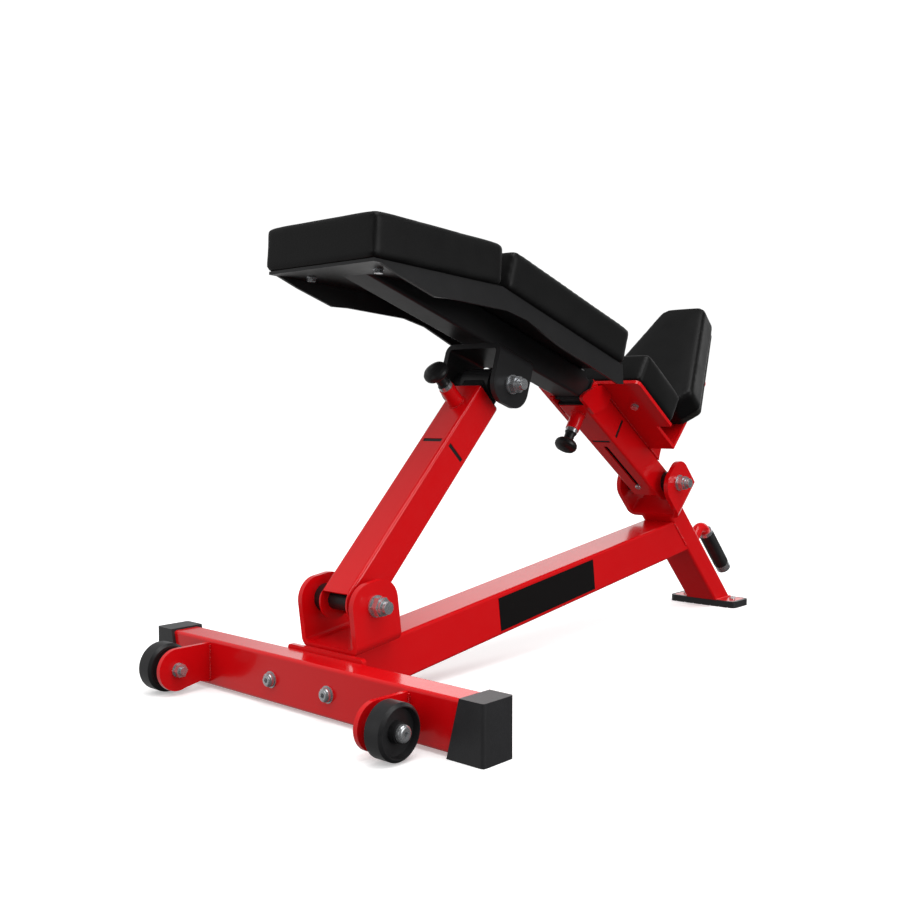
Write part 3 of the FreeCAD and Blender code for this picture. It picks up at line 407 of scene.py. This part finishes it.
# ---------------------------------------------------------------- transport wheels
# Solid black polypropylene wheels, turned smooth on the tread, with a dished face. Mould
# tooling leaves faint rings about the axle.
def moulded_wheel_plastic():
    """Injection-moulded polypropylene: low gloss, rings about 1.2 mm apart from the tool."""
    material, tree = new_material("moulded_wheel_polypropylene")
    place = node(tree, "ShaderNodeTexCoord").outputs["Object"]
    centre = pivots["wheel_left_spin"]
    local = node(tree, "ShaderNodeMapping", {"Vector": place, "Location": (-centre.x, 0, -centre.z),
                                             "Scale": (1, 0, 1)}, vector_type="POINT")
    reach_out = node(tree, "ShaderNodeVectorMath", {0: local.outputs[0]}, operation="LENGTH")
    wave = node(tree, "ShaderNodeMath", {0: reach_out.outputs["Value"], 1: 5200.0}, operation="MULTIPLY")
    rings = node(tree, "ShaderNodeMath", {0: wave.outputs[0]}, operation="SINE")
    scuff = node(tree, "ShaderNodeTexNoise", {"Vector": place, "Scale": 60.0, "Detail": 6.0})
    tone = node(tree, "ShaderNodeMix", {"Factor": scuff.outputs["Fac"], 6: linear("#18181A"),
                                        7: linear("#282829")}, data_type="RGBA")
    bump = node(tree, "ShaderNodeBump", {"Height": rings.outputs[0], "Strength": 0.08, "Distance": 0.0003})
    gloss = node(tree, "ShaderNodeMapRange", {"Value": scuff.outputs["Fac"], "To Min": 0.28, "To Max": 0.5})
    body = node(tree, "ShaderNodeBsdfPrincipled", {
        "Base Color": tone.outputs[2], "Roughness": gloss.outputs[0], "Normal": bump.outputs[0],
        "IOR": 1.49})
    node(tree, "ShaderNodeOutputMaterial", {"Surface": body.outputs[0]})
    return material


finish_nodes(moulded_wheel_plastic(), "wheel_left", "wheel_right")


# ---------------------------------------------------------------- blank side stickers
# A plain black vinyl film stuck on each side of the beam and left blank. Its satin surface
# holds a few specks of dust.
def sticker_film():
    """Calendered vinyl film: fine emboss and a few faint dust specks."""
    material, tree = new_material("black_vinyl_sticker")
    place = node(tree, "ShaderNodeTexCoord").outputs["Object"]
    emboss = node(tree, "ShaderNodeTexNoise", {"Vector": place, "Scale": 700.0, "Detail": 2.0})
    speck = node(tree, "ShaderNodeTexNoise", {"Vector": place, "Scale": 90.0, "Detail": 8.0,
                                              "Roughness": 0.8})
    dots = node(tree, "ShaderNodeMapRange", {"Value": speck.outputs["Fac"], "From Min": 0.6,
                                             "From Max": 0.75})
    tone = node(tree, "ShaderNodeMix", {"Factor": dots.outputs[0], 6: linear("#0C0808"),
                                        7: linear("#2A1B1B")}, data_type="RGBA")
    bump = node(tree, "ShaderNodeBump", {"Height": emboss.outputs["Fac"], "Strength": 0.15,
                                         "Distance": 0.0003})
    film = node(tree, "ShaderNodeBsdfPrincipled", {"Base Color": tone.outputs[2], "Roughness": 0.5,
                                                   "Normal": bump.outputs[0], "Specular IOR Level": 0.25})
    node(tree, "ShaderNodeOutputMaterial", {"Surface": film.outputs[0]})
    return material


finish_nodes(sticker_film(), "beam_labels")


# ---------------------------------------------------------------- lifting handle
# A bent steel bar is welded behind the leg. A ribbed rubber grip is pushed over it, between
# two bright collars.
grip_rubber = moulded_rubber("ribbed_grip_rubber", "#141415", "#1E1E1F", 600.0)
finish_nodes(grip_rubber, "handle_grip")
grip_axis = [bench(leg_line, u, 1.0014) for u in (0.753, 0.851)]
grip_ribs = grow("handle_grip_ribs", [grip_axis], ring_maker,
                 {"Pitch": 0.0049, "Ring radius": 0.0165, "Ring thickness": 0.0009, "Skin": grip_rubber})
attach(grip_ribs, "base")


# ---------------------------------------------------------------- plastic spacers, liners, knobs
# Black nylon: turned sleeves and spacers at the pivots, moulded liners in the mouths of the
# tubes, and the two mushroom knobs. Satin, with a fine mould texture.
def black_nylon():
    """Glass-filled nylon: satin black, with spark-eroded texture drawn at 1.5 mm."""
    material, tree = new_material("moulded_black_nylon")
    place = node(tree, "ShaderNodeTexCoord").outputs["Object"]
    grain = node(tree, "ShaderNodeTexNoise", {"Vector": place, "Scale": 650.0, "Detail": 3.0})
    drift = node(tree, "ShaderNodeTexNoise", {"Vector": place, "Scale": 40.0, "Detail": 4.0})
    tone = node(tree, "ShaderNodeMix", {"Factor": drift.outputs["Fac"], 6: linear("#101011"),
                                        7: linear("#1D1D1E")}, data_type="RGBA")
    bump = node(tree, "ShaderNodeBump", {"Height": grain.outputs["Fac"], "Strength": 0.2, "Distance": 0.0004})
    body = node(tree, "ShaderNodeBsdfPrincipled", {"Base Color": tone.outputs[2], "Roughness": 0.4,
                                                   "Normal": bump.outputs[0], "IOR": 1.53})
    node(tree, "ShaderNodeOutputMaterial", {"Surface": body.outputs[0]})
    return material


nylon = black_nylon()
finish_nodes(nylon, "arm_pivot_sleeve", "post_pivot_sleeve", "arm_pivot_spacers", "post_pivot_spacers",
             "back_pivot_spacers", "arm_liner", "post_liner", "arm_knob", "post_knob")


def dark_pin_steel():
    """Black-oxide steel rod: polished by its guide, with lengthwise rub marks."""
    material, tree = new_material("black_oxide_pin_steel")
    place = node(tree, "ShaderNodeTexCoord").outputs["Object"]
    rub = node(tree, "ShaderNodeTexNoise", {"Vector": place, "Scale": 260.0, "Detail": 5.0})
    gloss = node(tree, "ShaderNodeMapRange", {"Value": rub.outputs["Fac"], "To Min": 0.2, "To Max": 0.42})
    tone = node(tree, "ShaderNodeMix", {"Factor": rub.outputs["Fac"], 6: linear("#26272A"),
                                        7: linear("#55575B")}, data_type="RGBA")
    body = node(tree, "ShaderNodeBsdfPrincipled", {"Base Color": tone.outputs[2], "Metallic": 1.0,
                                                   "Roughness": gloss.outputs[0]})
    node(tree, "ShaderNodeOutputMaterial", {"Surface": body.outputs[0]})
    return material


finish_nodes(dark_pin_steel(), "arm_pull_pin", "post_pull_pin")


# ---------------------------------------------------------------- support arm
# Red square tube that swings on the front clevis, with a black tube sliding in it up to the
# bolt under the backrest. The lock pin's boss is welded on near the mouth.
finish_nodes(red_coat, "arm_tube", "arm_boss")
arm_axis = [Vector(j["axis"]) for j in frame["joints"] if j["name"] == "arm_extend"][0]
pull_axis = [Vector(j["axis"]) for j in frame["joints"] if j["name"] == "arm_pin_pull"][0]
boss_weld_radius = 0.0139
arm_boss_foot = pivots["arm_pivot"] + arm_axis * 0.402 + pull_axis * 0.0319
arm_welds = grow("arm_weld_beads", [circle(arm_boss_foot, pull_axis, boss_weld_radius)], weld_tree,
                 {"Ripple spacing": 0.0024, "Bead radius": 0.0022, "Paint": red_coat})
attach(arm_welds, "arm")


# ---------------------------------------------------------------- seat post and seat bracket
# The shorter red tube, its two cheek plates at the mouth, and the bent plate that carries the
# lumbar block and the seat. Two ribs brace the plate from behind.
finish_nodes(red_coat, "seat_post_tube", "post_cheeks", "post_boss", "seat_bracket", "seat_bracket_ribs")
post_axis = [Vector(j["axis"]) for j in frame["joints"] if j["name"] == "back_slide"][0]
post_pull = [Vector(j["axis"]) for j in frame["joints"] if j["name"] == "post_pin_pull"][0]
post_up = -post_pull
hinge = pivots["post_pivot"]
post_boss_foot = hinge + post_axis * 0.316 + post_pull * 0.0397
seams = [circle(post_boss_foot, post_pull, boss_weld_radius)]
rib_foot = 0.0240
half_post = 0.0318
for y in (-half_post, half_post):
    for run in ((0.105, 0.285), (0.054, 0.094)):
        seams.append([hinge + post_axis * r + post_up * rib_foot + Vector((0, y, 0)) for r in run])
post_welds = grow("post_weld_beads", seams, weld_tree,
                  {"Ripple spacing": 0.0026, "Bead radius": 0.0023, "Paint": red_coat})
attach(post_welds, "seat")


# ---------------------------------------------------------------- backrest frame
# Folded steel tray, spine tube and rear clevis in satin black powder coat; the sliding tubes
# share the coat.
satin_black = gloss_powder_coat("satin_black_powder_coat", "#1B1B1C", "#252526", 0.34, 0.0)
finish_nodes(satin_black, "back_tray", "spine_tube", "spine_end_plate", "back_clevis", "arm_slide_tube",
             "arm_head_bush", "post_slide_tube")


# ---------------------------------------------------------------- pad boards
# Plywood behind each pad, screwed to the steel through its back. It is stained black, and its
# plies show at the cut edges.
def stained_ply():
    """Black-stained birch ply: plies about 1.5 mm, drawn at 3 mm."""
    material, tree = new_material("black_stained_plywood")
    place = node(tree, "ShaderNodeTexCoord").outputs["Object"]
    plies = node(tree, "ShaderNodeTexWave", {"Vector": place, "Scale": 55.0, "Distortion": 1.5,
                                             "Detail": 2.0}, bands_direction="Z")
    fibre = node(tree, "ShaderNodeTexNoise", {"Vector": place, "Scale": 180.0, "Detail": 6.0})
    tone = node(tree, "ShaderNodeMix", {"Factor": plies.outputs["Fac"], 6: linear("#141210"),
                                        7: linear("#211D1A")}, data_type="RGBA")
    bump = node(tree, "ShaderNodeBump", {"Height": fibre.outputs["Fac"], "Strength": 0.25,
                                         "Distance": 0.0006})
    body = node(tree, "ShaderNodeBsdfPrincipled", {"Base Color": tone.outputs[2], "Roughness": 0.7,
                                                   "Normal": bump.outputs[0]})
    node(tree, "ShaderNodeOutputMaterial", {"Surface": body.outputs[0]})
    return material


finish_nodes(stained_ply(), "back_pad_boards", "seat_pad_boards")


# ---------------------------------------------------------------- upholstered pads
# Firm foam on a board under black leatherette, drawn tight round all four sides and stapled
# behind the board, so that no seam shows and the faces crown only a little.
def leatherette():
    """Embossed PVC leatherette: pebble grain about 1.5 mm, drawn at 2.5 mm, over faint creases."""
    material, tree = new_material("black_leatherette")
    place = node(tree, "ShaderNodeTexCoord").outputs["Object"]
    warp = node(tree, "ShaderNodeTexNoise", {"Vector": place, "Scale": 160.0, "Detail": 2.0})
    bent = node(tree, "ShaderNodeVectorMath", {0: warp.outputs["Color"], 1: (0.003, 0.003, 0.003)},
                operation="MULTIPLY")
    moved = node(tree, "ShaderNodeVectorMath", {0: place, 1: bent.outputs[0]}, operation="ADD")
    pebble = node(tree, "ShaderNodeTexVoronoi", {"Vector": moved.outputs[0], "Scale": 400.0},
                  feature="SMOOTH_F1")
    crease = node(tree, "ShaderNodeTexNoise", {"Vector": place, "Scale": 26.0, "Detail": 5.0,
                                               "Roughness": 0.6})
    heights = node(tree, "ShaderNodeMath", {0: crease.outputs["Fac"], 1: 1.2, 2: pebble.outputs["Distance"]},
                   operation="MULTIPLY_ADD")
    bump = node(tree, "ShaderNodeBump", {"Height": heights.outputs[0], "Strength": 0.16, "Distance": 0.0007})
    tone = node(tree, "ShaderNodeMix", {"Factor": crease.outputs["Fac"], 6: linear("#080809"),
                                        7: linear("#0F0F0F")}, data_type="RGBA")
    gloss = node(tree, "ShaderNodeMapRange", {"Value": crease.outputs["Fac"], "To Min": 0.38, "To Max": 0.56})
    body = node(tree, "ShaderNodeBsdfPrincipled", {
        "Base Color": tone.outputs[2], "Roughness": gloss.outputs[0], "Normal": bump.outputs[0],
        "IOR": 1.5, "Specular IOR Level": 0.28})
    node(tree, "ShaderNodeOutputMaterial", {"Surface": body.outputs[0]})
    return material


vinyl = leatherette()


def upholster(source, body, back_point, back_normal, swell):
    """Skins the pad's foam block, swells the skin by air pressure and lays its back flat.

    Of the swelling only the part that points outward is kept, at most swell metres of it, and
    it is smoothed over the skin. back_point and back_normal give the board's top face.
    """
    tuck = 0.0008
    board_gap = 0.0004
    last_frame = 20
    mesh = nodes[source].data.copy()
    shape = bmesh.new()
    shape.from_mesh(mesh)
    bmesh.ops.remove_doubles(shape, verts=shape.verts, dist=1e-5)
    hull = bmesh.ops.convex_hull(shape, input=shape.verts)
    inner = [g for g in hull["geom_interior"] if isinstance(g, bmesh.types.BMVert)]
    bmesh.ops.delete(shape, geom=inner, context="VERTS")
    bmesh.ops.recalc_face_normals(shape, faces=shape.faces)
    shape.to_mesh(mesh)
    shape.free()
    pad = bpy.data.objects.new(source + "_cover", mesh)
    scene.collection.objects.link(pad)
    skin = pad.modifiers.new("skin", "REMESH")
    skin.mode = "VOXEL"
    skin.voxel_size = 0.0055
    bpy.context.view_layer.update()
    pad.data = bpy.data.meshes.new_from_object(pad.evaluated_get(bpy.context.evaluated_depsgraph_get()))
    pad.modifiers.clear()
    count = len(pad.data.vertices)
    place = np.zeros(count * 3)
    pad.data.vertices.foreach_get("co", place)
    place = place.reshape(-1, 3)
    normals = np.array([v.normal for v in pad.data.vertices])
    start = place - normals * tuck
    pad.data.vertices.foreach_set("co", start.ravel())
    pad.data.update()
    crown = np.zeros(count)
    cloth = pad.modifiers.new("foam", "CLOTH")
    cloth.settings.use_pressure = True
    cloth.settings.uniform_pressure_force = 4.0
    cloth.settings.effector_weights.gravity = 0.0
    cloth.settings.tension_stiffness = 40.0
    cloth.settings.compression_stiffness = 40.0
    cloth.point_cache.frame_start = 1
    cloth.point_cache.frame_end = last_frame
    for step in range(1, last_frame + 1):
        scene.frame_set(step)
    done = bpy.data.meshes.new_from_object(pad.evaluated_get(bpy.context.evaluated_depsgraph_get()))
    blown = np.zeros(count * 3)
    done.vertices.foreach_get("co", blown)
    crown = np.clip(((blown.reshape(-1, 3) - start) * normals).sum(axis=1), 0.0, swell)
    pad.modifiers.clear()
    scene.frame_set(1)
    edges = np.zeros(len(pad.data.edges) * 2, dtype=np.int32)
    pad.data.edges.foreach_get("vertices", edges)
    one, other = edges.reshape(-1, 2).T
    smoothing_passes = 30
    for _ in range(smoothing_passes):
        total = crown.copy()
        share = np.ones(count)
        for a, b in ((one, other), (other, one)):
            np.add.at(total, a, crown[b])
            np.add.at(share, a, 1.0)
        crown = total / share
    settled = start + crown[:, None] * normals
    depth = (settled - np.array(back_point)) @ np.array(back_normal)
    settled -= np.minimum(depth - board_gap, 0.0)[:, None] * np.array(back_normal)[None, :]
    pad.data.vertices.foreach_set("co", settled.ravel())
    pad.data.update()
    pad.data.polygons.foreach_set("use_smooth", [True] * len(pad.data.polygons))
    pad.data.materials.clear()
    pad.data.materials.append(vinyl)
    finer = pad.modifiers.new("finer", "SUBSURF")
    finer.levels = 1
    finer.render_levels = 1
    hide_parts(source)
    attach(pad, body)


head_lean = math.radians(3.3)
lower_lean = math.radians(18)
seat_lean = math.radians(46)
bracket_top = 0.03095
seat_foam_depth = 0.058
tray_bend = Vector((origin_x + 0.336, 0, 0.6575))
head_up = Vector((math.sin(head_lean), 0, math.cos(head_lean)))
lower_up = Vector((math.sin(lower_lean), 0, math.cos(lower_lean)))
seat_up = Vector((-math.sin(seat_lean), 0, math.cos(seat_lean)))
seat_back = Vector((origin_x + 0.9407, 0, 0.4928)) - seat_up * seat_foam_depth
upholster("head_pad", "backrest", tray_bend, head_up, 0.0055)
upholster("lower_back_pad", "backrest", tray_bend, lower_up, 0.0055)
upholster("lumbar_pad", "seat", hinge + post_up * bracket_top, post_up, 0.005)
upholster("seat_pad", "seat", seat_back, seat_up, 0.0055)
